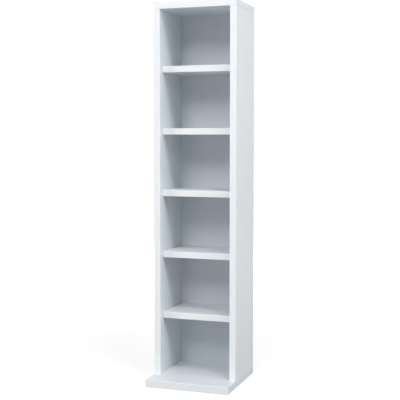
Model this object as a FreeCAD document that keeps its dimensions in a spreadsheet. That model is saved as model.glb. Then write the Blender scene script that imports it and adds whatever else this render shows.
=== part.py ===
import FreeCAD
import Part
import Sketcher
import math
import os

# A tall, narrow shelf tower of white faced chipboard, open at the front, in millimetres.
# The origin lies on the floor under the middle of the base plate.
# X runs to the right, Y to the back and Z up, so the open front faces the negative Y side.

# Driving dimensions, by the name of their spreadsheet cell
SIZES = {
    # The whole tower
    "tower_width": 215,
    "carcass_depth": 155,
    "base_reach": 60,
    "clear_height": 139,
    "bottom_clear": 141,
    # Boards and their edge bands
    "board": 16,
    "base_board": 18,
    "back_board": 3,
    "edging": 2,
    "edging_round": 1.2,
    # Shelves and the rebate that takes the back panel
    "shelf_setback": 20,
    "shelf_end_gap": 0.5,
    "shelf_back_gap": 1,
    "rebate_width": 8,
    "back_panel_gap": 1,
    # Bent wires that hold the loose shelves by grooves in their ends
    "wire": 3,
    "wire_bend": 4,
    "wire_leg": 10,
    "wire_front_inset": 25,
    "wire_rear_inset": 15,
    "wire_gap": 0.3,
    # Cam locks, their cover caps and the bolts that they draw in
    "joint_inset": 25,
    "cam_diameter": 15,
    "cam_skirt": 4,
    "cam_setback": 24,
    "cam_slot_gap": 0.3,
    "cam_drive_width": 1.6,
    "cam_drive_length": 7,
    "cam_drive_depth": 2,
    "cap_diameter": 17,
    "cap_thickness": 0.8,
    "bolt_thread": 5,
    "bolt_thread_length": 10,
    "bolt_shank": 6.4,
    "bolt_neck": 3.6,
    "bolt_neck_length": 3,
    "bolt_head_length": 3.5,
    # Wooden dowels
    "dowel_diameter": 8,
    "dowel_length": 30,
    "dowel_in_face": 10,
    "dowel_chamfer": 1,
    # Screws through the base plate
    "screw_length": 50,
    "screw_head": 10,
    "screw_head_rim": 1,
    "screw_head_height": 4,
    "screw_shank": 7,
    "screw_thread": 6,
    "screw_tip": 3,
    "screw_socket": 4,
    "screw_socket_depth": 3,
    # Nails round the back panel
    "nail_length": 18,
    "nail_shank": 1.4,
    "nail_head": 3,
    "nail_head_height": 0.6,
    "nail_tip": 2,
    "nail_end": 60,
    # Clearances: round a fitted piece, below it in its hole, and past the face of a cut
    "fit_gap": 0.05,
    "hole_spare": 0.5,
    "overrun": 1,
}

# Shelves from the lowest to the highest, and the one that is fixed to the sides
SHELVES = ("bottom_shelf", "lower_shelf", "middle_shelf", "upper_shelf", "top_shelf")
FIXED_SHELF = "middle_shelf"
LOOSE_SHELVES = [name for name in SHELVES if name != FIXED_SHELF]
NAILS_PER_SIDE = 8

# Levels, planes and axes worked out from the driving dimensions
PLACES = {
    "half_width": "=Sizes.tower_width / 2",
    "inner_half": "=half_width - Sizes.board",
    "side_middle": "=inner_half + Sizes.board / 2",
    "rebate_half": "=inner_half + Sizes.rebate_width",
    "panel_half": "=rebate_half - Sizes.back_panel_gap",
    "base_depth": "=Sizes.carcass_depth + Sizes.base_reach",
    "base_front": "=-base_depth / 2",
    "rear": "=base_depth / 2",
    "front": "=base_front + Sizes.base_reach",
    "panel_face": "=rear - Sizes.back_board",
    "shelf_front": "=front + Sizes.shelf_setback",
    "loose_rear": "=panel_face - Sizes.shelf_back_gap",
    "loose_half": "=inner_half - Sizes.shelf_end_gap",
    "wire_front": "=shelf_front + Sizes.wire_front_inset",
    "wire_rear": "=loose_rear - Sizes.wire_rear_inset",
    "wire_middle": "=(wire_front + wire_rear) / 2",
    "wire_half": "=(wire_rear - wire_front) / 2",
    "wire_offset": "=Sizes.wire_bend + Sizes.shelf_end_gap",
    "groove_stop": "=wire_front - Sizes.wire / 2 - Sizes.wire_gap",
    "groove_half": "=Sizes.wire / 2 + Sizes.wire_gap",
    "groove_depth": "=wire_offset + groove_half - Sizes.shelf_end_gap",
    "joint_front": "=shelf_front + Sizes.joint_inset",
    "joint_rear": "=panel_face - Sizes.joint_inset",
    "joint_middle": "=(joint_front + joint_rear) / 2",
    "shelf_pitch": "=Sizes.board + Sizes.clear_height",
    **{
        f"{name}_level": f"=Sizes.base_board + Sizes.bottom_clear + {count} * shelf_pitch"
        for count, name in enumerate(SHELVES)
    },
    "top_level": f"={SHELVES[-1]}_level + shelf_pitch",
    "fixed_middle": f"={FIXED_SHELF}_level + Sizes.board / 2",
    "cam_level": "=top_level - Sizes.cam_setback",
    "cam_reach": "=inner_half - Sizes.cam_setback",
    "cam_height": "=Sizes.board / 2 + Sizes.cam_skirt",
    "cam_slot_half": "=Sizes.bolt_shank / 2 + Sizes.cam_slot_gap",
    "cam_slot_floor": "=Sizes.board / 2 - cam_slot_half",
    "cam_slot_end": "=Sizes.bolt_head_length / 2 + Sizes.cam_slot_gap",
    "cap_tab_depth": "=Sizes.cam_drive_depth - Sizes.hole_spare",
    "bolt_end": "=Sizes.cam_setback + Sizes.bolt_head_length / 2",
    "bolt_hole_depth": "=bolt_end + Sizes.hole_spare",
    "bolt_head_start": "=bolt_end - Sizes.bolt_head_length",
    "bolt_neck_start": "=bolt_head_start - Sizes.bolt_neck_length",
    "dowel_in_end": "=Sizes.dowel_length - Sizes.dowel_in_face",
    "nail_side": "=inner_half + Sizes.rebate_width / 2",
    "nail_across": "=inner_half / 2",
    "nail_base_level": "=Sizes.base_board - Sizes.rebate_width / 2",
    "nail_top_level": "=top_level + Sizes.rebate_width / 2",
    "nail_low": "=Sizes.base_board + Sizes.nail_end",
    "nail_step": f"=(top_level - Sizes.nail_end - nail_low) / {NAILS_PER_SIDE - 1}",
    "nail_hole_depth": "=Sizes.nail_length - Sizes.back_board + Sizes.hole_spare",
}

# Directions along an axis, and the side that each origin plane's sketch faces
UP = RIGHT = BACK = 1
DOWN = LEFT = FORWARD = -1
PLANE_FACING = {"XY": UP, "XZ": FORWARD, "YZ": RIGHT}
X_AXIS = FreeCAD.Vector(1, 0, 0)
Y_AXIS = FreeCAD.Vector(0, 1, 0)
Z_AXIS = FreeCAD.Vector(0, 0, 1)
HEXAGON_SIDES = 6
QUARTER_TURN = math.pi / 2

document = FreeCAD.newDocument("DiscTower")
sub_parts = []


def add_sheet(name, rows):
    """Make a spreadsheet with a label and an aliased cell in each row."""
    sheet = document.addObject("Spreadsheet::Sheet", name)
    for row, (alias, value) in enumerate(rows.items(), start=1):
        sheet.set(f"A{row}", alias)
        sheet.set(f"B{row}", str(value))
        sheet.setAlias(f"B{row}", alias)
    return sheet


add_sheet("Sizes", SIZES)
places = add_sheet("Places", PLACES)
document.recompute()


def number(expression):
    """The present value of an expression, as a first guess for a sketch."""
    return float(places.evalExpression(expression))


def fitted(diameter):
    """The diameter of a hole that takes a round piece with the common clearance."""
    return f"{diameter} + 2 * Sizes.fit_gap"


# Sketches and features


def new_body(label, kept=True):
    """Start a body. A kept one is a sub-part of the tower, the others are drawn to be repeated."""
    body = document.addObject("PartDesign::Body", label)
    body.Label = label
    if kept:
        sub_parts.append(body)
    return body


def new_sketch(body, plane, level="0"):
    """Attach a sketch to one of the body's own origin planes, moved along its axis to a level."""
    sketch = body.newObject("Sketcher::SketchObject", f"{body.Name}_sketch")
    support = [each for each in body.Origin.OriginFeatures if each.Role == f"{plane}_Plane"][0]
    sketch.AttachmentSupport = [(support, "")]
    sketch.MapMode = "FlatFace"
    sketch.setExpression("AttachmentOffset.Base.z", f"{PLANE_FACING[plane]} * ({level})")
    return sketch


def tie_point(sketch, shape, point, across, along):
    """Hold one point of a sketched shape at two bound distances from the sketch's origin."""
    for kind, expression in (("DistanceX", across), ("DistanceY", along)):
        bound = Sketcher.Constraint(kind, -1, 1, shape, point, number(expression))
        index = sketch.addConstraint(bound)
        sketch.setExpression(f"Constraints[{index}]", expression)


def draw_polygon(sketch, corners):
    """Draw a closed outline through corners given as pairs of expressions."""
    spots = [FreeCAD.Vector(number(across), number(along), 0) for across, along in corners]
    for start, end in zip(spots, spots[1:] + spots[:1]):
        sketch.addGeometry(Part.LineSegment(start, end))
    for index, (across, along) in enumerate(corners):
        following = (index + 1) % len(corners)
        sketch.addConstraint(Sketcher.Constraint("Coincident", index, 2, following, 1))
        tie_point(sketch, index, 1, across, along)


def draw_rectangle(sketch, left, right, low, high):
    """Draw a rectangle between four bound edges."""
    draw_polygon(sketch, [(left, low), (right, low), (right, high), (left, high)])


def draw_circles(sketch, centres, diameter):
    """Draw equal circles round centres given as pairs of expressions."""
    for across, along in centres:
        centre = FreeCAD.Vector(number(across), number(along), 0)
        circle = sketch.addGeometry(Part.Circle(centre, Z_AXIS, number(diameter) / 2))
        tie_point(sketch, circle, 3, across, along)
        bound = Sketcher.Constraint("Diameter", circle, number(diameter))
        index = sketch.addConstraint(bound)
        sketch.setExpression(f"Constraints[{index}]", diameter)


def add_pad(body, sketch, plane, length, towards):
    """Raise a sketch to a solid in one direction along its plane's axis."""
    pad = body.newObject("PartDesign::Pad", f"{body.Name}_pad")
    pad.Profile = sketch
    pad.Reversed = towards != PLANE_FACING[plane]
    pad.setExpression("Length", length)
    document.recompute()


def add_pocket(body, sketch, plane, depth, towards):
    """Cut a sketch into the solid in one direction, and make sure that it cut something."""
    whole = body.Shape.Volume
    pocket = body.newObject("PartDesign::Pocket", f"{body.Name}_pocket")
    pocket.Profile = sketch
    pocket.Reversed = towards == PLANE_FACING[plane]
    pocket.setExpression("Length", depth)
    document.recompute()
    if body.Shape.Volume >= whole:
        raise RuntimeError(f"{pocket.Name} cuts nothing from {body.Label}")


def drill(body, plane, level, towards, centres, diameter, depth):
    """Drill equal holes from a plane into the solid."""
    sketch = new_sketch(body, plane, level)
    draw_circles(sketch, centres, diameter)
    add_pocket(body, sketch, plane, depth, towards)


def turn_outline(body, outline):
    """Turn an outline of radius and height pairs about the body's own Z axis."""
    sketch = new_sketch(body, "XZ")
    draw_polygon(sketch, outline)
    turned = body.newObject("PartDesign::Revolution", f"{body.Name}_turned")
    turned.Profile = sketch
    turned.ReferenceAxis = (sketch, ["V_Axis"])
    document.recompute()


def aim(along, across):
    """The rotation that takes a piece's own Z axis along one direction and its X axis across it."""
    return FreeCAD.Rotation(across, FreeCAD.Vector(), along, "ZXY")


def group(label, piece, settings):
    """Set one drawn piece at several places, as one sub-part of separate solids."""
    copies = []
    for x, y, z, rotation in settings:
        copy = document.addObject("App::Link", f"{label}_copy")
        copy.LinkedObject = piece
        copy.Placement = FreeCAD.Placement(FreeCAD.Vector(), rotation)
        for axis, expression in zip("xyz", (x, y, z)):
            copy.setExpression(f"Placement.Base.{axis}", expression)
        copies.append(copy)
    gathered = document.addObject("Part::Compound", label)
    gathered.Label = label
    gathered.Links = copies
    sub_parts.append(gathered)


# Lists of places that boards and fasteners share

JOINT_LINES = ("Places.joint_front", "Places.joint_rear")
WIRE_LINES = ("Places.wire_front", "Places.wire_rear")


def side_nail_levels():
    """Heights of the nails along each side, evenly spread."""
    return [f"Places.nail_low + {count} * Places.nail_step" for count in range(NAILS_PER_SIDE)]


def cross_nails(level):
    """Places of the two nails in the rear edge of a level board."""
    return [(f"{hand} * Places.nail_across", level) for hand in (LEFT, RIGHT)]


def drill_for_nails(body, centres):
    """Drill the rear face of a board, in the rebate, for the back panel's nails."""
    shank = fitted("Sizes.nail_shank")
    drill(body, "XZ", "Places.panel_face", FORWARD, centres, shank, "Places.nail_hole_depth")


# Boards


def cut_level_rebate(body, level, towards):
    """Rebate the rear edge of the top or base between the rebates of the two sides."""
    rebate = new_sketch(body, "XY", level)
    rear = "Places.rear + Sizes.overrun"
    draw_rectangle(rebate, "-Places.rebate_half", "Places.rebate_half", "Places.panel_face", rear)
    add_pocket(body, rebate, "XY", "Sizes.rebate_width", towards)


def side_joint_spots(lines):
    """Places on the middle lines of both side boards, seen from above."""
    return [(f"{hand} * Places.side_middle", line) for hand in (LEFT, RIGHT) for line in lines]


def add_base_plate():
    """The thick plate under the sides, reaching forward, drilled for screws and dowels."""
    body = new_body("base_plate")
    outline = new_sketch(body, "XY")
    edge = "(Places.half_width - Sizes.edging)"
    draw_rectangle(outline, f"-{edge}", edge, "Places.base_front + Sizes.edging", "Places.rear")
    add_pad(body, outline, "XY", "Sizes.base_board", UP)
    cut_level_rebate(body, "Sizes.base_board", DOWN)
    screws = side_joint_spots(JOINT_LINES)
    drill(body, "XY", "0", UP, screws, fitted("Sizes.screw_shank"), "Sizes.base_board + Sizes.overrun")
    drill(body, "XY", "0", UP, screws, fitted("Sizes.screw_head"), "Sizes.screw_head_height")
    dowels = side_joint_spots(["Places.joint_middle"])
    dowel_depth = "Sizes.dowel_in_face + Sizes.hole_spare"
    drill(body, "XY", "Sizes.base_board", DOWN, dowels, fitted("Sizes.dowel_diameter"), dowel_depth)
    drill_for_nails(body, cross_nails("Places.nail_base_level"))


def add_top_panel():
    """The panel on top of the sides, drilled from below for bolts and dowels."""
    body = new_body("top_panel")
    outline = new_sketch(body, "XY", "Places.top_level")
    edge = "(Places.half_width - Sizes.edging)"
    draw_rectangle(outline, f"-{edge}", edge, "Places.front + Sizes.edging", "Places.rear")
    add_pad(body, outline, "XY", "Sizes.board", UP)
    cut_level_rebate(body, "Places.top_level", UP)
    bolts = side_joint_spots(JOINT_LINES)
    bolt_depth = "Sizes.bolt_thread_length + Sizes.hole_spare"
    drill(body, "XY", "Places.top_level", UP, bolts, fitted("Sizes.bolt_thread"), bolt_depth)
    dowels = side_joint_spots(["Places.joint_middle"])
    dowel_depth = "Sizes.dowel_in_face + Sizes.hole_spare"
    drill(body, "XY", "Places.top_level", UP, dowels, fitted("Sizes.dowel_diameter"), dowel_depth)
    drill_for_nails(body, cross_nails("Places.nail_top_level"))


def drill_side_face(body, inner, hand):
    """Holes in a side's inner face: shelf wires, the fixed shelf's joint and the top's cams."""
    wires = [
        (line, f"Places.{name}_level + Sizes.board / 2") for name in LOOSE_SHELVES for line in WIRE_LINES
    ]
    wire_depth = "Sizes.wire_leg + Sizes.hole_spare"
    drill(body, "YZ", inner, hand, wires, fitted("Sizes.wire"), wire_depth)
    bolts = [(line, "Places.fixed_middle") for line in JOINT_LINES]
    bolt_depth = "Sizes.bolt_thread_length + Sizes.hole_spare"
    drill(body, "YZ", inner, hand, bolts, fitted("Sizes.bolt_thread"), bolt_depth)
    dowel = [("Places.joint_middle", "Places.fixed_middle")]
    dowel_depth = "Sizes.dowel_in_face + Sizes.hole_spare"
    drill(body, "YZ", inner, hand, dowel, fitted("Sizes.dowel_diameter"), dowel_depth)
    cams = [(line, "Places.cam_level") for line in JOINT_LINES]
    cam_depth = "Places.cam_height + Sizes.hole_spare"
    drill(body, "YZ", inner, hand, cams, fitted("Sizes.cam_diameter"), cam_depth)


def drill_side_ends(body, hand):
    """Holes in a side's two ends: bolts and a dowel above, screws and a dowel below."""
    middle = f"{hand} * Places.side_middle"
    pair = [(middle, line) for line in JOINT_LINES]
    dowel = [(middle, "Places.joint_middle")]
    dowel_size = fitted("Sizes.dowel_diameter")
    dowel_depth = "Places.dowel_in_end + Sizes.hole_spare"
    bolt_size = fitted("Sizes.bolt_shank")
    drill(body, "XY", "Places.top_level", DOWN, pair, bolt_size, "Places.bolt_hole_depth")
    drill(body, "XY", "Places.top_level", DOWN, dowel, dowel_size, dowel_depth)
    screw_depth = "Sizes.screw_length - Sizes.base_board + Sizes.hole_spare"
    drill(body, "XY", "Sizes.base_board", UP, pair, fitted("Sizes.screw_thread"), screw_depth)
    drill(body, "XY", "Sizes.base_board", UP, dowel, dowel_size, dowel_depth)


def add_side_panel(label, hand):
    """A tall side panel between base and top, rebated at the back of its inner face."""
    body = new_body(label)
    inner = f"{hand} * Places.inner_half"
    outline = new_sketch(body, "YZ", inner)
    bottom = "Sizes.base_board"
    top = "Places.top_level"
    draw_rectangle(outline, "Places.front + Sizes.edging", "Places.rear", bottom, top)
    add_pad(body, outline, "YZ", "Sizes.board", hand)
    rebate = new_sketch(body, "YZ", inner)
    past_rear = "Places.rear + Sizes.overrun"
    below = f"{bottom} - Sizes.overrun"
    above = f"{top} + Sizes.overrun"
    draw_rectangle(rebate, "Places.panel_face", past_rear, below, above)
    add_pocket(body, rebate, "YZ", "Sizes.rebate_width", hand)
    drill_side_face(body, inner, hand)
    drill_side_ends(body, hand)
    drill_for_nails(body, [(f"{hand} * Places.nail_side", level) for level in side_nail_levels()])


def add_loose_shelf(name):
    """A shelf that slides onto its wires: each end has a groove, open at the back."""
    body = new_body(name)
    outline = new_sketch(body, "XY")
    front = "Places.shelf_front + Sizes.edging"
    draw_rectangle(outline, "-Places.loose_half", "Places.loose_half", front, "Places.loose_rear")
    add_pad(body, outline, "XY", "Sizes.board", UP)
    low = "Sizes.board / 2 - Places.groove_half"
    high = "Sizes.board / 2 + Places.groove_half"
    past_rear = "Places.loose_rear + Sizes.overrun"
    for hand in (LEFT, RIGHT):
        groove = new_sketch(body, "YZ", f"{hand} * Places.loose_half")
        draw_rectangle(groove, "Places.groove_stop", past_rear, low, high)
        add_pocket(body, groove, "YZ", "Places.groove_depth", -hand)
    body.setExpression("Placement.Base.z", f"Places.{name}_level")


def add_fixed_shelf():
    """The middle shelf, drawn up tight between the sides and nailed to from the back."""
    body = new_body(FIXED_SHELF)
    outline = new_sketch(body, "XY")
    front = "Places.shelf_front + Sizes.edging"
    draw_rectangle(outline, "-Places.inner_half", "Places.inner_half", front, "Places.panel_face")
    add_pad(body, outline, "XY", "Sizes.board", UP)
    cams = [(f"{hand} * Places.cam_reach", line) for hand in (LEFT, RIGHT) for line in JOINT_LINES]
    cam_depth = "Places.cam_height + Sizes.hole_spare"
    drill(body, "XY", "0", UP, cams, fitted("Sizes.cam_diameter"), cam_depth)
    bolts = [(line, "Sizes.board / 2") for line in JOINT_LINES]
    dowel = [("Places.joint_middle", "Sizes.board / 2")]
    dowel_depth = "Places.dowel_in_end + Sizes.hole_spare"
    for hand in (LEFT, RIGHT):
        end = f"{hand} * Places.inner_half"
        drill(body, "YZ", end, -hand, bolts, fitted("Sizes.bolt_shank"), "Places.bolt_hole_depth")
        drill(body, "YZ", end, -hand, dowel, fitted("Sizes.dowel_diameter"), dowel_depth)
    drill_for_nails(body, cross_nails("Sizes.board / 2"))
    body.setExpression("Placement.Base.z", f"Places.{FIXED_SHELF}_level")


def nail_spots():
    """Places of all the back panel's nails, seen from the back."""
    sides = [
        (f"{hand} * Places.nail_side", level) for hand in (LEFT, RIGHT) for level in side_nail_levels()
    ]
    across = [
        spot
        for level in ("Places.nail_base_level", "Places.fixed_middle", "Places.nail_top_level")
        for spot in cross_nails(level)
    ]
    return sides + across


def add_back_panel():
    """The thin back panel in the rebate, drilled for its nails and their heads."""
    body = new_body("back_panel")
    outline = new_sketch(body, "XZ", "Places.panel_face")
    lap = "(Sizes.rebate_width - Sizes.back_panel_gap)"
    low = f"Sizes.base_board - {lap}"
    high = f"Places.top_level + {lap}"
    draw_rectangle(outline, "-Places.panel_half", "Places.panel_half", low, high)
    add_pad(body, outline, "XZ", "Sizes.back_board", BACK)
    through = "Sizes.back_board + Sizes.overrun"
    drill(body, "XZ", "Places.rear", FORWARD, nail_spots(), fitted("Sizes.nail_shank"), through)
    head_depth = "Sizes.nail_head_height"
    drill(body, "XZ", "Places.rear", FORWARD, nail_spots(), fitted("Sizes.nail_head"), head_depth)


# Edge bands


def runs_along(edge, direction):
    """Whether a straight edge is parallel to a direction."""
    return edge.tangentAt(edge.FirstParameter).cross(direction).Length < Part.Precision.angular()


def add_edge_band(label, span, level, height, outward, along, corners=False):
    """A glued band on one edge of a board, with its two long outer edges rounded.

    A band that ends at corners of the board has those corners rounded too."""
    body = new_body(label)
    outline = new_sketch(body, "XY")
    draw_rectangle(outline, *span)
    add_pad(body, outline, "XY", height, UP)
    strip = body.Tip
    outer = max(vertex.Point.dot(outward) for vertex in strip.Shape.Vertexes)
    chosen = []
    for index, edge in enumerate(strip.Shape.Edges, start=1):
        is_outer = abs(edge.CenterOfMass.dot(outward) - outer) < Part.Precision.confusion()
        at_corner = corners and (is_outer or runs_along(edge, outward))
        if at_corner or (is_outer and runs_along(edge, along)):
            chosen.append(f"Edge{index}")
    rounded = body.newObject("PartDesign::Fillet", f"{label}_rounded")
    rounded.Base = (strip, chosen)
    rounded.setExpression("Radius", "Sizes.edging_round")
    body.setExpression("Placement.Base.z", level)
    document.recompute()


def add_level_bands(name, front, level, height):
    """Bands on the front, left and right edges of the top or the base."""
    behind = f"{front} + Sizes.edging"
    half = "Places.half_width"
    inside = f"({half} - Sizes.edging)"
    across = (f"-{half}", half, front, behind)
    add_edge_band(f"{name}_front_edging", across, level, height, -Y_AXIS, X_AXIS, corners=True)
    left = (f"-{half}", f"-{inside}", behind, "Places.rear")
    add_edge_band(f"{name}_left_edging", left, level, height, -X_AXIS, Y_AXIS)
    right = (inside, half, behind, "Places.rear")
    add_edge_band(f"{name}_right_edging", right, level, height, X_AXIS, Y_AXIS)


def add_side_bands():
    """Bands on the front edges of the two sides."""
    height = "Places.top_level - Sizes.base_board"
    deep = ("Places.front", "Places.front + Sizes.edging")
    left = ("-Places.half_width", "-Places.inner_half", *deep)
    add_edge_band("left_side_edging", left, "Sizes.base_board", height, -Y_AXIS, Z_AXIS)
    right = ("Places.inner_half", "Places.half_width", *deep)
    add_edge_band("right_side_edging", right, "Sizes.base_board", height, -Y_AXIS, Z_AXIS)


def add_shelf_band(name):
    """The band on the front edge of a shelf, as long as its board."""
    end = "Places.inner_half" if name == FIXED_SHELF else "Places.loose_half"
    span = (f"-{end}", end, "Places.shelf_front", "Places.shelf_front + Sizes.edging")
    level = f"Places.{name}_level"
    add_edge_band(f"{name}_edging", span, level, "Sizes.board", -Y_AXIS, X_AXIS)


# Fasteners, each drawn once about its own Z axis


def draw_cam():
    """A cam lock: flush face at zero, a driver slot in it, and a channel for the bolt behind it."""
    body = new_body("cam", kept=False)
    radius = "Sizes.cam_diameter / 2"
    height = "Places.cam_height"
    turn_outline(body, [("0", "0"), (radius, "0"), (radius, height), ("0", height)])
    channel = new_sketch(body, "XY", height)
    half = "Places.cam_slot_half"
    past_rim = f"{radius} + Sizes.overrun"
    draw_rectangle(channel, "-Places.cam_slot_end", past_rim, f"-{half}", half)
    add_pocket(body, channel, "XY", f"{height} - Places.cam_slot_floor", DOWN)
    driver = new_sketch(body, "XY")
    long = "Sizes.cam_drive_length / 2"
    wide = "Sizes.cam_drive_width / 2"
    draw_rectangle(driver, f"-{wide}", wide, f"-{long}", long)
    add_pocket(body, driver, "XY", "Sizes.cam_drive_depth", UP)
    return body


def draw_cap():
    """A cover cap: a thin disc in front of the cam with a tab in its driver slot."""
    body = new_body("cap", kept=False)
    radius = "Sizes.cap_diameter / 2"
    face = "-Sizes.cap_thickness"
    turn_outline(body, [("0", face), (radius, face), (radius, "0"), ("0", "0")])
    tab = new_sketch(body, "XY")
    long = "(Sizes.cam_drive_length / 2 - Sizes.fit_gap)"
    wide = "(Sizes.cam_drive_width / 2 - Sizes.fit_gap)"
    draw_rectangle(tab, f"-{wide}", wide, f"-{long}", long)
    add_pad(body, tab, "XY", "Places.cap_tab_depth", UP)
    return body


def draw_bolt():
    """A cam bolt: thread below zero in one board, shank, neck and head above it in the other."""
    body = new_body("bolt", kept=False)
    thread = "Sizes.bolt_thread / 2"
    shank = "Sizes.bolt_shank / 2"
    neck = "Sizes.bolt_neck / 2"
    outline = [
        ("0", "-Sizes.bolt_thread_length"),
        (thread, "-Sizes.bolt_thread_length"),
        (thread, "0"),
        (shank, "0"),
        (shank, "Places.bolt_neck_start"),
        (neck, "Places.bolt_neck_start"),
        (neck, "Places.bolt_head_start"),
        (shank, "Places.bolt_head_start"),
        (shank, "Places.bolt_end"),
        ("0", "Places.bolt_end"),
    ]
    turn_outline(body, outline)
    return body


def draw_dowel():
    """A wooden dowel with chamfered ends, its short part below zero."""
    body = new_body("dowel", kept=False)
    radius = "Sizes.dowel_diameter / 2"
    tip = f"{radius} - Sizes.dowel_chamfer"
    low = "-Sizes.dowel_in_face"
    high = "Places.dowel_in_end"
    outline = [
        ("0", low),
        (tip, low),
        (radius, f"{low} + Sizes.dowel_chamfer"),
        (radius, f"{high} - Sizes.dowel_chamfer"),
        (tip, high),
        ("0", high),
    ]
    turn_outline(body, outline)
    return body


def draw_screw():
    """A connecting screw with a countersunk head at zero, a hexagon socket and a pointed thread."""
    body = new_body("screw", kept=False)
    head = "Sizes.screw_head / 2"
    shank = "Sizes.screw_shank / 2"
    thread = "Sizes.screw_thread / 2"
    outline = [
        ("0", "0"),
        (head, "0"),
        (head, "Sizes.screw_head_rim"),
        (shank, "Sizes.screw_head_height"),
        (shank, "Sizes.base_board"),
        (thread, "Sizes.base_board"),
        (thread, "Sizes.screw_length - Sizes.screw_tip"),
        ("0", "Sizes.screw_length"),
    ]
    turn_outline(body, outline)
    corner_share = 1 / math.cos(math.pi / HEXAGON_SIDES)
    corners = []
    for count in range(HEXAGON_SIDES):
        angle = 2 * math.pi * count / HEXAGON_SIDES
        across_share = corner_share * math.cos(angle)
        along_share = corner_share * math.sin(angle)
        corners.append([f"{share:.9f} * Sizes.screw_socket / 2" for share in (across_share, along_share)])
    socket = new_sketch(body, "XY")
    draw_polygon(socket, corners)
    add_pocket(body, socket, "XY", "Sizes.screw_socket_depth", UP)
    return body


def draw_nail():
    """A small flat-headed nail, its head at zero."""
    body = new_body("nail", kept=False)
    head = "Sizes.nail_head / 2"
    shank = "Sizes.nail_shank / 2"
    outline = [
        ("0", "0"),
        (head, "0"),
        (head, "Sizes.nail_head_height"),
        (shank, "Sizes.nail_head_height"),
        (shank, "Sizes.nail_length - Sizes.nail_tip"),
        ("0", "Sizes.nail_length"),
    ]
    turn_outline(body, outline)
    return body


def draw_wire_path(body):
    """The wire's centre line: a leg into the side, a run beside it, and a second leg."""
    leg = "-Sizes.wire_leg"
    bend = "Places.wire_offset - Sizes.wire_bend"
    run = "Places.wire_offset"
    half = "Places.wire_half"
    straight = f"({half} - Sizes.wire_bend)"
    front_leg = [(leg, f"-{half}"), (bend, f"-{half}")]
    side_run = [(run, f"-{straight}"), (run, straight)]
    rear_leg = [(bend, half), (leg, half)]
    path = new_sketch(body, "XY")
    lines = []
    for ends in (front_leg, side_run, rear_leg):
        spots = [FreeCAD.Vector(number(across), number(along), 0) for across, along in ends]
        line = path.addGeometry(Part.LineSegment(*spots))
        for point, (across, along) in enumerate(ends, start=1):
            tie_point(path, line, point, across, along)
        lines.append(line)
    bends = [(lines[0], f"-{straight}", -QUARTER_TURN, lines[1]), (lines[1], straight, 0, lines[2])]
    for before, along, start_angle, after in bends:
        centre = FreeCAD.Vector(number(bend), number(along), 0)
        circle = Part.Circle(centre, Z_AXIS, number("Sizes.wire_bend"))
        arc = path.addGeometry(Part.ArcOfCircle(circle, start_angle, start_angle + QUARTER_TURN))
        path.addConstraint(Sketcher.Constraint("Coincident", before, 2, arc, 1))
        path.addConstraint(Sketcher.Constraint("Coincident", arc, 2, after, 1))
        index = path.addConstraint(Sketcher.Constraint("Radius", arc, number("Sizes.wire_bend")))
        path.setExpression(f"Constraints[{index}]", "Sizes.wire_bend")
    return path


def draw_shelf_wire():
    """A bent wire about its own middle: zero is the face of the side that its legs go into."""
    body = new_body("shelf_wire", kept=False)
    path = draw_wire_path(body)
    section = new_sketch(body, "YZ", "-Sizes.wire_leg")
    draw_circles(section, [("-Places.wire_half", "0")], "Sizes.wire")
    pipe = body.newObject("PartDesign::AdditivePipe", "shelf_wire_pipe")
    pipe.Profile = section
    pipe.Spine = path
    document.recompute()
    return body


# Fasteners set in their places


def add_top_joint(cam, cap, bolt, dowel):
    """Cams in the sides, bolts and dowels from the top panel."""
    cams = []
    bolts = []
    dowels = []
    for hand in (LEFT, RIGHT):
        inner = f"{hand} * Places.inner_half"
        middle = f"{hand} * Places.side_middle"
        for line in JOINT_LINES:
            cams.append((inner, line, "Places.cam_level", aim(X_AXIS * hand, Z_AXIS)))
            bolts.append((middle, line, "Places.top_level", aim(-Z_AXIS, X_AXIS)))
        dowels.append((middle, "Places.joint_middle", "Places.top_level", aim(-Z_AXIS, X_AXIS)))
    group("top_cam_locks", cam, cams)
    group("top_cam_caps", cap, cams)
    group("top_cam_bolts", bolt, bolts)
    group("top_dowels", dowel, dowels)


def add_fixed_shelf_joint(cam, cap, bolt, dowel):
    """Cams in the middle shelf's underside, bolts and dowels from the sides."""
    cams = []
    bolts = []
    dowels = []
    for hand in (LEFT, RIGHT):
        inner = f"{hand} * Places.inner_half"
        inward = aim(X_AXIS * -hand, Z_AXIS)
        for line in JOINT_LINES:
            reach = f"{hand} * Places.cam_reach"
            cams.append((reach, line, f"Places.{FIXED_SHELF}_level", aim(Z_AXIS, X_AXIS * hand)))
            bolts.append((inner, line, "Places.fixed_middle", inward))
        dowels.append((inner, "Places.joint_middle", "Places.fixed_middle", inward))
    group(f"{FIXED_SHELF}_cam_locks", cam, cams)
    group(f"{FIXED_SHELF}_cam_caps", cap, cams)
    group(f"{FIXED_SHELF}_cam_bolts", bolt, bolts)
    group(f"{FIXED_SHELF}_dowels", dowel, dowels)


def add_base_joint(screw, dowel):
    """Screws up through the base plate, and a dowel between them, on each side."""
    upright = FreeCAD.Rotation()
    screws = [(x, y, "0", upright) for x, y in side_joint_spots(JOINT_LINES)]
    group("base_screws", screw, screws)
    spots = side_joint_spots(["Places.joint_middle"])
    group("base_dowels", dowel, [(x, y, "Sizes.base_board", upright) for x, y in spots])


def add_nails(nail):
    """Nails from the back, all round the back panel and into the middle shelf."""
    forward = aim(-Y_AXIS, X_AXIS)
    group("back_panel_nails", nail, [(x, "Places.rear", z, forward) for x, z in nail_spots()])


def add_shelf_wires(name, wire):
    """The two wires that carry one loose shelf, one in each side."""
    level = f"Places.{name}_level + Sizes.board / 2"
    settings = []
    for hand in (LEFT, RIGHT):
        inner = f"{hand} * Places.inner_half"
        settings.append((inner, "Places.wire_middle", level, aim(Z_AXIS, X_AXIS * -hand)))
    group(f"{name}_wires", wire, settings)


# The whole tower

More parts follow.
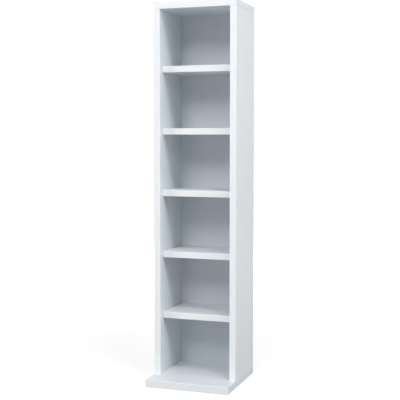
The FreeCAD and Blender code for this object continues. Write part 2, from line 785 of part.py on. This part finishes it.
add_base_plate()
add_side_panel("left_side_panel", LEFT)
add_side_panel("right_side_panel", RIGHT)
add_top_panel()
for shelf in LOOSE_SHELVES:
    add_loose_shelf(shelf)
add_fixed_shelf()
add_back_panel()

add_level_bands("base", "Places.base_front", "0", "Sizes.base_board")
add_level_bands("top", "Places.front", "Places.top_level", "Sizes.board")
add_side_bands()
for shelf in SHELVES:
    add_shelf_band(shelf)

shared_cam = draw_cam()
shared_cap = draw_cap()
shared_bolt = draw_bolt()
shared_dowel = draw_dowel()
add_top_joint(shared_cam, shared_cap, shared_bolt, shared_dowel)
add_fixed_shelf_joint(shared_cam, shared_cap, shared_bolt, shared_dowel)
add_base_joint(draw_screw(), shared_dowel)
add_nails(draw_nail())
shared_wire = draw_shelf_wire()
for shelf in LOOSE_SHELVES:
    add_shelf_wires(shelf, shared_wire)

document.recompute()

# Everything must have come out whole before anything is written

for item in document.Objects:
    if "Invalid" in item.State or "Error" in item.State:
        raise RuntimeError(f"{item.Name} failed: {item.State}")
for part in sub_parts:
    if part.Shape.isNull() or not part.Shape.isValid() or not part.Shape.Solids:
        raise RuntimeError(f"{part.Label} has no sound shape")

os.makedirs("parts", exist_ok=True)
for part in sub_parts:
    part.Shape.exportStep(f"parts/{part.Label}.step")
    print(f"{part.Label}: {len(part.Shape.Solids)} solids, {part.Shape.Volume / 1000:.1f} cm3")
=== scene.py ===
"""Looks of the disc storage tower: camera, studio and materials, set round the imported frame."""

import math

import bpy
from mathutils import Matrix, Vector


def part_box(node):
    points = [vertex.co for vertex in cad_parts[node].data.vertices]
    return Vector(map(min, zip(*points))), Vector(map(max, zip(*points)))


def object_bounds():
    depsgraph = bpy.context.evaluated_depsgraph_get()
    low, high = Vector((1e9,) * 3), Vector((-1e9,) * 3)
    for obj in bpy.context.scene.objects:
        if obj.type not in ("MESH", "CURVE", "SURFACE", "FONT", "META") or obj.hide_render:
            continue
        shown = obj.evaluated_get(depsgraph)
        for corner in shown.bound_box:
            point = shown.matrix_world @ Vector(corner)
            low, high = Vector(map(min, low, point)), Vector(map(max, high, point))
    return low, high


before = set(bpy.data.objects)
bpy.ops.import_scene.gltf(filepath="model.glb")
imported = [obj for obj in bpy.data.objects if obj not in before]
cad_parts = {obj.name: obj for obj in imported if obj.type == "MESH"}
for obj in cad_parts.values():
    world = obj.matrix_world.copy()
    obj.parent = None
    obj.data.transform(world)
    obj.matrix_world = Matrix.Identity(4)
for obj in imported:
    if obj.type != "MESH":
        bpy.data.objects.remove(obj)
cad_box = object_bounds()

AXES = {"X": 0, "Y": 1, "Z": 2}

# Camera, fitted to the photograph's upright and receding edges
IMAGE_SIDE = 400
SENSOR_WIDTH = 36.0
FOCAL_PIXELS = 909.45
LENS_SHIFT = -0.015
CAMERA_PLACE = (0.7604, -2.1559, 0.620)
CAMERA_TURN = math.radians(19.47)
CAMERA_DIP = math.radians(3.631)
CLIP_NEAR, CLIP_FAR = 0.05, 200.0

# Studio: each lamp's place, width and height, and power
LAMPS = {
    "key_lamp": ((1.8, -1.87, 3.8), (0.6, 0.6), 60.0),
    "front_fill": ((-0.2, -4.0, 3.6), (1.8, 1.8), 100.0),
    "left_fill": ((-2.2, -1.27, 0.7), (1.0, 1.0), 28.5),
    "right_fill": ((1.6, -0.4, 1.1), (0.8, 0.8), 16.2),
    "left_rear_fill": ((-2.4, 1.5, 0.8), (1.2, 1.2), 22.0),
    "back_strip": ((-0.1, 2.6, 0.9), (0.35, 1.6), 50.0),
}
SKY_COLOUR = (0.97, 0.99, 1.0)
SKY_LEVEL = 0.03
WHITE = (1.0, 1.0, 1.0)

# Floor: its reach and drop, and its grey for rays that carry light and for rays that see it
FLOOR_REACH = 40.0
FLOOR_DROP = 0.0005
FLOOR_BOUNCE = 0.42
FLOOR_SEEN = 0.25

# Glow that makes the floor white where it is seen, less of it near the tower to keep the shadow
GLOW_NEAR, GLOW_FAR = 0.76, 1.0
GLOW_START, GLOW_END = 0.5, 2.2

# Colours, in linear light
MELAMINE_LIGHT = (0.745, 0.787, 0.824)
MELAMINE_DARK = (0.723, 0.764, 0.800)
# Edge band white for bands that face the front, whiter than the board faces: partly the band's own
# tone, partly painted light
LIT_EDGING_LIGHT = (0.853, 0.886, 0.913)
LIT_EDGING_DARK = (0.835, 0.868, 0.894)
# Edge band white for bands that face sideways, a darker copy close to the board's tone: painted shade
SHADED_SIDE_EDGING_LIGHT = (0.739, 0.781, 0.818)
SHADED_SIDE_EDGING_DARK = (0.719, 0.760, 0.796)
LACQUER_LIGHT = (0.726, 0.760, 0.802)
LACQUER_DARK = (0.698, 0.731, 0.771)
CHIP_TONES = ((0.0, (0.155, 0.088, 0.042)), (0.35, (0.330, 0.215, 0.118)),
              (0.7, (0.500, 0.358, 0.215)), (1.0, (0.640, 0.500, 0.330)))
FIBRE_LIGHT = (0.275, 0.172, 0.098)
FIBRE_DARK = (0.150, 0.086, 0.046)
CAP_LIGHT = (0.746, 0.788, 0.825)
CAP_DARK = (0.724, 0.765, 0.801)
BEECH_LIGHT = (0.640, 0.445, 0.270)
BEECH_DARK = (0.430, 0.265, 0.140)
ZINC_LIGHT = (0.500, 0.505, 0.515)
ZINC_DARK = (0.330, 0.335, 0.345)
STEEL_LIGHT = (0.660, 0.665, 0.670)
STEEL_DARK = (0.480, 0.485, 0.490)

# Fineness of each pattern, in repeats to a metre
FACE_CLOUDS = 16.0
FACE_PEARL = 1500.0
FACE_RIPPLES = 260.0
FACE_POLISH = 55.0
COARSE_CHIPS = 330.0
FINE_CHIPS = 950.0
CHIP_FIBRES = 2400.0
BAND_STREAKS = 700.0
BAND_CLOUDS = 22.0
PANEL_FIBRES = 900.0
PANEL_BLOTCHES = 38.0
CAP_SPARKS = 2600.0
CAP_CLOUDS = 120.0
BEECH_GRAIN = 900.0
BEECH_FLECKS = 2600.0
ZINC_SPECKS = 1500.0
STEEL_SPECKS = 2200.0
CLOUDS_TO_SPECKS = 0.12

# Scale of a pattern along one axis, against its scale along the other two
CHIP_FLATNESS = 2.6
BAND_STRETCH = 0.06
PANEL_STRETCH = 0.35
BEECH_STRETCH = 0.08

# Roughness of each surface, at its smoothest and at its roughest
FACE_ROUGHNESS = (0.34, 0.46)
CHIP_ROUGHNESS = (0.75, 0.95)
BAND_ROUGHNESS = (0.46, 0.58)
PANEL_ROUGHNESS = (0.62, 0.82)
CAP_ROUGHNESS = (0.42, 0.56)
BEECH_ROUGHNESS = (0.55, 0.72)
ZINC_ROUGHNESS = (0.42, 0.58)
STEEL_ROUGHNESS = (0.24, 0.38)

# Depth of each surface's relief in metres, and what share of it a white face on top takes
BOARD_RELIEF = 0.0003
BOARD_FACE_SHARE = 0.08
PANEL_RELIEF = 0.00012
PANEL_FACE_SHARE = 0.25
BAND_RELIEF = 0.00002
CAP_RELIEF = 0.00004
BEECH_RELIEF = 0.00008
ZINC_RELIEF = 0.00005
STEEL_RELIEF = 0.00002

# Depth of the white face on a board and of the lacquer on the back panel
FACE_SKIN = 0.00025
LACQUER_SKIN = 0.0002
SKIN_BLEND = 0.00005

# Where fine chips take over from coarse ones, in half thicknesses, and the tones they keep to
FINE_LAYER_START, FINE_LAYER_END = 0.45, 0.75
FINE_TONES = (0.25, 0.9)

# The part of a noise's range in which most of it lies, and that of the beech's short flecks
NOISE_LOW, NOISE_HIGH = 0.3, 0.7
FLECK_LOW, FLECK_HIGH = 0.45, 0.6


class Nodes:
    """Fills one node tree."""

    def __init__(self, tree):
        self.tree = tree
        self.tree.nodes.clear()

    def add(self, kind, sockets=None, **settings):
        """A new node, with its settings and what its sockets take."""
        node = self.tree.nodes.new(kind)
        for name, value in settings.items():
            setattr(node, name, value)
        for name, value in (sockets or {}).items():
            self.feed(node.inputs[name], value)
        return node

    def feed(self, socket, value):
        """Links a socket, or sets its plain value."""
        if isinstance(value, bpy.types.NodeSocket):
            self.tree.links.new(value, socket)
        elif socket.type == "RGBA":
            socket.default_value = (*value, 1.0)
        else:
            socket.default_value = value

    def math(self, operation, first, second=0.0):
        node = self.add("ShaderNodeMath", {0: first, 1: second}, operation=operation)
        return node.outputs["Value"]

    def span(self, value, low, high, start=0.0, end=1.0):
        """Carries a value from one span to another, and stops at the ends."""
        node = self.add("ShaderNodeMapRange", {
            "Value": value, "From Min": low, "From Max": high, "To Min": start, "To Max": end})
        return node.outputs["Result"]

    def seen_rays(self):
        """One for rays that should meet the white background, and none for those that carry light."""
        path = self.add("ShaderNodeLightPath").outputs
        seen = path["Is Camera Ray"]
        for name in ("Is Glossy Ray", "Is Transmission Ray"):
            seen = self.math("MAXIMUM", seen, path[name])
        return seen


class Painter(Nodes):
    """Builds the node tree of one material of the tower."""

    def __init__(self, name):
        self.material = bpy.data.materials.new(name)
        self.material.use_nodes = True
        super().__init__(self.material.node_tree)
        self.shader = self.add("ShaderNodeBsdfPrincipled")
        self.add("ShaderNodeOutputMaterial", {"Surface": self.shader.outputs["BSDF"]})
        self.place = self.add("ShaderNodeTexCoord").outputs["Object"]

    def along(self, axis):
        """One of the object's own coordinates."""
        node = self.add("ShaderNodeSeparateXYZ", {"Vector": self.place})
        return node.outputs[axis]

    def stretched(self, axis, factor):
        """The object's own coordinates, scaled along one axis."""
        factors = [1.0, 1.0, 1.0]
        factors[AXES[axis]] = factor
        node = self.add("ShaderNodeVectorMath", {0: self.place, 1: factors}, operation="MULTIPLY")
        return node.outputs["Vector"]

    def noise(self, scale, detail=2.0, roughness=0.5, place=None, distortion=0.0):
        node = self.add("ShaderNodeTexNoise", {
            "Vector": place or self.place, "Scale": scale, "Detail": detail,
            "Roughness": roughness, "Distortion": distortion})
        return node.outputs["Fac"]

    def cells(self, scale, place):
        """A grey for each cell, and the distance to the middle of the cell."""
        node = self.add("ShaderNodeTexVoronoi", {"Vector": place, "Scale": scale})
        grey = self.add("ShaderNodeSeparateColor", {"Color": node.outputs["Color"]})
        return grey.outputs["Red"], node.outputs["Distance"]

    def spread(self, noise, start=0.0, end=1.0):
        """Carries the part of a noise's range in which most of it lies to another span."""
        return self.span(noise, NOISE_LOW, NOISE_HIGH, start, end)

    def mix(self, first, second, share):
        """A colour between two colours, by the second one's share."""
        node = self.add("ShaderNodeMix", {0: share, 6: first, 7: second}, data_type="RGBA")
        return node.outputs[2]

    def blend(self, first, second, share):
        """A number between two numbers, by the second one's share."""
        node = self.add("ShaderNodeMix", {0: share, 2: first, 3: second}, data_type="FLOAT")
        return node.outputs[0]

    def ramp(self, value, stops):
        """A colour that passes through a row of colours as the value rises."""
        node = self.add("ShaderNodeValToRGB", {"Fac": value})
        ends = node.color_ramp.elements
        while len(ends) < len(stops):
            ends.new(1.0)
        for end, (position, colour) in zip(ends, stops):
            end.position = position
            end.color = (*colour, 1.0)
        return node.outputs["Color"]

    def finish(self, colour, roughness, height, relief, metallic=0.0):
        """Feeds the shader: colour, roughness, relief in metres, and one if it is metal."""
        bump = self.add("ShaderNodeBump", {"Height": height, "Distance": relief, "Strength": 1.0})
        self.feed(self.shader.inputs["Base Color"], colour)
        self.feed(self.shader.inputs["Roughness"], roughness)
        self.feed(self.shader.inputs["Normal"], bump.outputs["Normal"])
        self.feed(self.shader.inputs["Metallic"], metallic)
        return self.material


def white_face(paint, light, dark):
    """Colour, roughness and relief of a white satin face."""
    cloud = paint.noise(FACE_CLOUDS, detail=3.0)
    pearl = paint.noise(FACE_PEARL, roughness=0.6)
    ripple = paint.noise(FACE_RIPPLES, detail=1.0)
    colour = paint.mix(dark, light, share=paint.spread(cloud))
    roughness = paint.spread(paint.noise(FACE_POLISH, detail=4.0), *FACE_ROUGHNESS)
    relief = paint.blend(pearl, ripple, share=0.35)
    return colour, roughness, relief


def board_material(node, axis):
    """White faced chipboard: white skins on both faces, and bare chips wherever a cut shows."""
    low, high = (corner[AXES[axis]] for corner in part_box(node))
    middle, half = (low + high) / 2, (high - low) / 2
    paint = Painter("board_" + node)
    from_middle = paint.math("ABSOLUTE", paint.math("SUBTRACT", paint.along(axis), middle))
    skin = paint.span(from_middle, half - FACE_SKIN - SKIN_BLEND, half - FACE_SKIN)

    place = paint.stretched(axis, CHIP_FLATNESS)
    coarse, coarse_relief = paint.cells(COARSE_CHIPS, place)
    fine, fine_relief = paint.cells(FINE_CHIPS, place)
    outer = paint.span(from_middle, half * FINE_LAYER_START, half * FINE_LAYER_END)
    tone = paint.blend(coarse, paint.span(fine, 0.0, 1.0, *FINE_TONES), share=outer)
    fibre = paint.noise(CHIP_FIBRES, detail=3.0, place=place)
    chips = paint.ramp(paint.blend(tone, fibre, share=0.3), CHIP_TONES)
    chip_relief = paint.blend(coarse_relief, fine_relief, share=outer)

    face, face_roughness, face_relief = white_face(paint, MELAMINE_LIGHT, MELAMINE_DARK)
    colour = paint.mix(chips, face, share=skin)
    roughness = paint.blend(paint.spread(fibre, *CHIP_ROUGHNESS), face_roughness, share=skin)
    flat = paint.math("MULTIPLY", face_relief, BOARD_FACE_SHARE)
    height = paint.blend(chip_relief, flat, share=skin)
    return paint.finish(colour, roughness, height, BOARD_RELIEF)


def back_panel_material():
    """Thin hardboard: white lacquer towards the shelves, bare brown fibre behind."""
    low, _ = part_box("back_panel")
    paint = Painter("hardboard_back_panel")
    lacquer = paint.span(paint.along("Y"), low.y + LACQUER_SKIN + SKIN_BLEND, low.y + LACQUER_SKIN)
    place = paint.stretched("Z", PANEL_STRETCH)
    fibre = paint.noise(PANEL_FIBRES, detail=5.0, roughness=0.65, place=place, distortion=0.6)
    blotch = paint.noise(PANEL_BLOTCHES, detail=4.0)
    tone = paint.blend(paint.spread(fibre), paint.spread(blotch), share=0.35)
    brown = paint.mix(FIBRE_DARK, FIBRE_LIGHT, share=tone)

    face, face_roughness, face_relief = white_face(paint, LACQUER_LIGHT, LACQUER_DARK)
    colour = paint.mix(brown, face, share=lacquer)
    roughness = paint.blend(paint.spread(fibre, *PANEL_ROUGHNESS), face_roughness, share=lacquer)
    flat = paint.math("MULTIPLY", face_relief, PANEL_FACE_SHARE)
    height = paint.blend(fibre, flat, share=lacquer)
    return paint.finish(colour, roughness, height, PANEL_RELIEF)


def edging_material(name, axis, light, dark):
    """Matt plastic edge band, with a faint grain along its length."""
    paint = Painter("edging_" + name)
    streak = paint.noise(BAND_STREAKS, detail=3.0, place=paint.stretched(axis, BAND_STRETCH))
    cloud = paint.noise(BAND_CLOUDS)
    tone = paint.blend(paint.spread(cloud), paint.spread(streak), share=0.4)
    colour = paint.mix(dark, light, share=tone)
    roughness = paint.spread(streak, *BAND_ROUGHNESS)
    return paint.finish(colour, roughness, streak, BAND_RELIEF)


def cap_material():
    """Moulded white plastic with a fine spark texture."""
    paint = Painter("moulded_plastic")
    spark = paint.noise(CAP_SPARKS)
    cloud = paint.noise(CAP_CLOUDS)
    colour = paint.mix(CAP_DARK, CAP_LIGHT, share=paint.spread(cloud))
    roughness = paint.spread(spark, *CAP_ROUGHNESS)
    return paint.finish(colour, roughness, spark, CAP_RELIEF)


def beech_material(name, axis):
    """Turned beech, with its grain and short flecks along the dowel."""
    paint = Painter("beech_" + name)
    place = paint.stretched(axis, BEECH_STRETCH)
    grain = paint.noise(BEECH_GRAIN, detail=4.0, place=place, distortion=0.4)
    fleck = paint.noise(BEECH_FLECKS, detail=1.0, place=place)
    tone = paint.blend(paint.spread(grain), paint.span(fleck, FLECK_LOW, FLECK_HIGH), share=0.35)
    colour = paint.mix(BEECH_DARK, BEECH_LIGHT, share=tone)
    roughness = paint.spread(grain, *BEECH_ROUGHNESS)
    return paint.finish(colour, roughness, grain, BEECH_RELIEF)


def metal_material(name, light, dark, specks, roughness_span, relief):
    """Bare or plated metal with uneven tone and polish."""
    paint = Painter(name)
    speck = paint.noise(specks, detail=3.0)
    cloud = paint.noise(specks * CLOUDS_TO_SPECKS)
    tone = paint.blend(paint.spread(cloud), paint.spread(speck), share=0.5)
    colour = paint.mix(dark, light, share=tone)
    roughness = paint.spread(cloud, *roughness_span)
    return paint.finish(colour, roughness, speck, relief, metallic=1.0)


def coat(node, material):
    """Gives a carried-over node its material."""
    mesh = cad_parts[node].data
    mesh.materials.clear()
    mesh.materials.append(material)


def paint_boards():
    for node in ("left_side_panel", "right_side_panel"):
        coat(node, board_material(node, "X"))
    for node in ("base_plate", "top_panel", "bottom_shelf", "lower_shelf", "middle_shelf",
                 "upper_shelf", "top_shelf"):
        coat(node, board_material(node, "Z"))
    coat("back_panel", back_panel_material())


def paint_edging():
    # Bands that face the front get the lighter copy of the band white, partly painted light; bands
    # along Y, which face sideways, get the darker copy as painted shade
    bands = {"X": edging_material("across", "X", LIT_EDGING_LIGHT, LIT_EDGING_DARK),
             "Y": edging_material("fore_and_aft_shaded", "Y", SHADED_SIDE_EDGING_LIGHT, SHADED_SIDE_EDGING_DARK),
             "Z": edging_material("upright", "Z", LIT_EDGING_LIGHT, LIT_EDGING_DARK)}
    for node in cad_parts:
        if node.endswith("_edging"):
            low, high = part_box(node)
            reach = high - low
            longest = max(AXES, key=lambda axis: reach[AXES[axis]])
            coat(node, bands[longest])


def paint_fittings():
    plastic = cap_material()
    zinc = metal_material(
        "zinc_casting", ZINC_LIGHT, ZINC_DARK, ZINC_SPECKS, ZINC_ROUGHNESS, ZINC_RELIEF)
    steel = metal_material(
        "plated_steel", STEEL_LIGHT, STEEL_DARK, STEEL_SPECKS, STEEL_ROUGHNESS, STEEL_RELIEF)
    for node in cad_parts:
        if node.endswith("_caps"):
            coat(node, plastic)
        elif node.endswith("_locks"):
            coat(node, zinc)
        elif node.endswith(("_bolts", "_screws", "_nails", "_wires")):
            coat(node, steel)
    coat("middle_shelf_dowels", beech_material("across", "X"))
    upright_beech = beech_material("upright", "Z")
    for node in ("top_dowels", "base_dowels"):
        coat(node, upright_beech)


def add_to_scene(name, data):
    """A new object in the scene."""
    added = bpy.data.objects.new(name, data)
    bpy.context.scene.collection.objects.link(added)
    return added


def floor_material():
    """Pale and matt, seen as white, with the shadow at the foot of the tower."""
    material = bpy.data.materials.new("studio_floor")
    material.use_nodes = True
    nodes = Nodes(material.node_tree)
    seen = nodes.seen_rays()
    grey = nodes.span(seen, 0.0, 1.0, FLOOR_BOUNCE, FLOOR_SEEN)
    matt = nodes.add("ShaderNodeBsdfDiffuse", {"Color": grey})

    place = nodes.add("ShaderNodeTexCoord").outputs["Object"]
    away = nodes.add("ShaderNodeVectorMath", {0: place}, operation="LENGTH").outputs["Value"]
    level = nodes.span(away, GLOW_START, GLOW_END, GLOW_NEAR, GLOW_FAR)
    glow = nodes.add("ShaderNodeEmission", {"Strength": nodes.math("MULTIPLY", seen, level)})
    both = nodes.add("ShaderNodeAddShader", {0: matt.outputs[0], 1: glow.outputs[0]})
    nodes.add("ShaderNodeOutputMaterial", {"Surface": both.outputs[0]})
    return material


def add_floor():
    mesh = bpy.data.meshes.new("studio_floor")
    corners = [(x * FLOOR_REACH, y * FLOOR_REACH, -FLOOR_DROP)
               for x, y in ((-1, -1), (1, -1), (1, 1), (-1, 1))]
    mesh.from_pydata(corners, [], [(0, 1, 2, 3)])
    mesh.materials.append(floor_material())
    floor = add_to_scene("studio_floor", mesh)


def add_sky():
    """An even pale sky that lights the tower a little, white where it is seen."""
    world = bpy.data.worlds.new("studio")
    bpy.context.scene.world = world
    world.use_nodes = True
    nodes = Nodes(world.node_tree)
    lit = nodes.add("ShaderNodeBackground", {"Color": SKY_COLOUR, "Strength": SKY_LEVEL})
    white = nodes.add("ShaderNodeBackground", {"Color": WHITE, "Strength": 1.0})
    mixed = nodes.add("ShaderNodeMixShader", {
        0: nodes.seen_rays(), 1: lit.outputs[0], 2: white.outputs[0]})
    nodes.add("ShaderNodeOutputWorld", {"Surface": mixed.outputs[0]})


def add_lamps():
    """Soft white lamps that face the middle of the tower."""
    target = (cad_box[0] + cad_box[1]) / 2
    for name, (place, size, power) in LAMPS.items():
        lamp = bpy.data.lights.new(name, "AREA")
        lamp.shape = "RECTANGLE"
        lamp.size, lamp.size_y = size
        lamp.energy = power
        holder = add_to_scene(name, lamp)
        holder.location = place
        holder.rotation_euler = (target - Vector(place)).to_track_quat("-Z", "Y").to_euler()


def add_camera():
    """A camera that frames the tower as the photograph does."""
    lens = bpy.data.cameras.new("photo_camera")
    lens.sensor_width = SENSOR_WIDTH
    lens.lens = FOCAL_PIXELS / IMAGE_SIDE * SENSOR_WIDTH
    lens.shift_y = LENS_SHIFT
    lens.clip_start, lens.clip_end = CLIP_NEAR, CLIP_FAR
    camera = add_to_scene("photo_camera", lens)
    camera.location = CAMERA_PLACE
    camera.rotation_euler = (math.pi / 2 - CAMERA_DIP, 0.0, CAMERA_TURN)
    bpy.context.scene.camera = camera


paint_boards()
paint_edging()
paint_fittings()
add_floor()
add_sky()
add_lamps()
add_camera()
bpy.context.scene.view_settings.view_transform = "Standard"
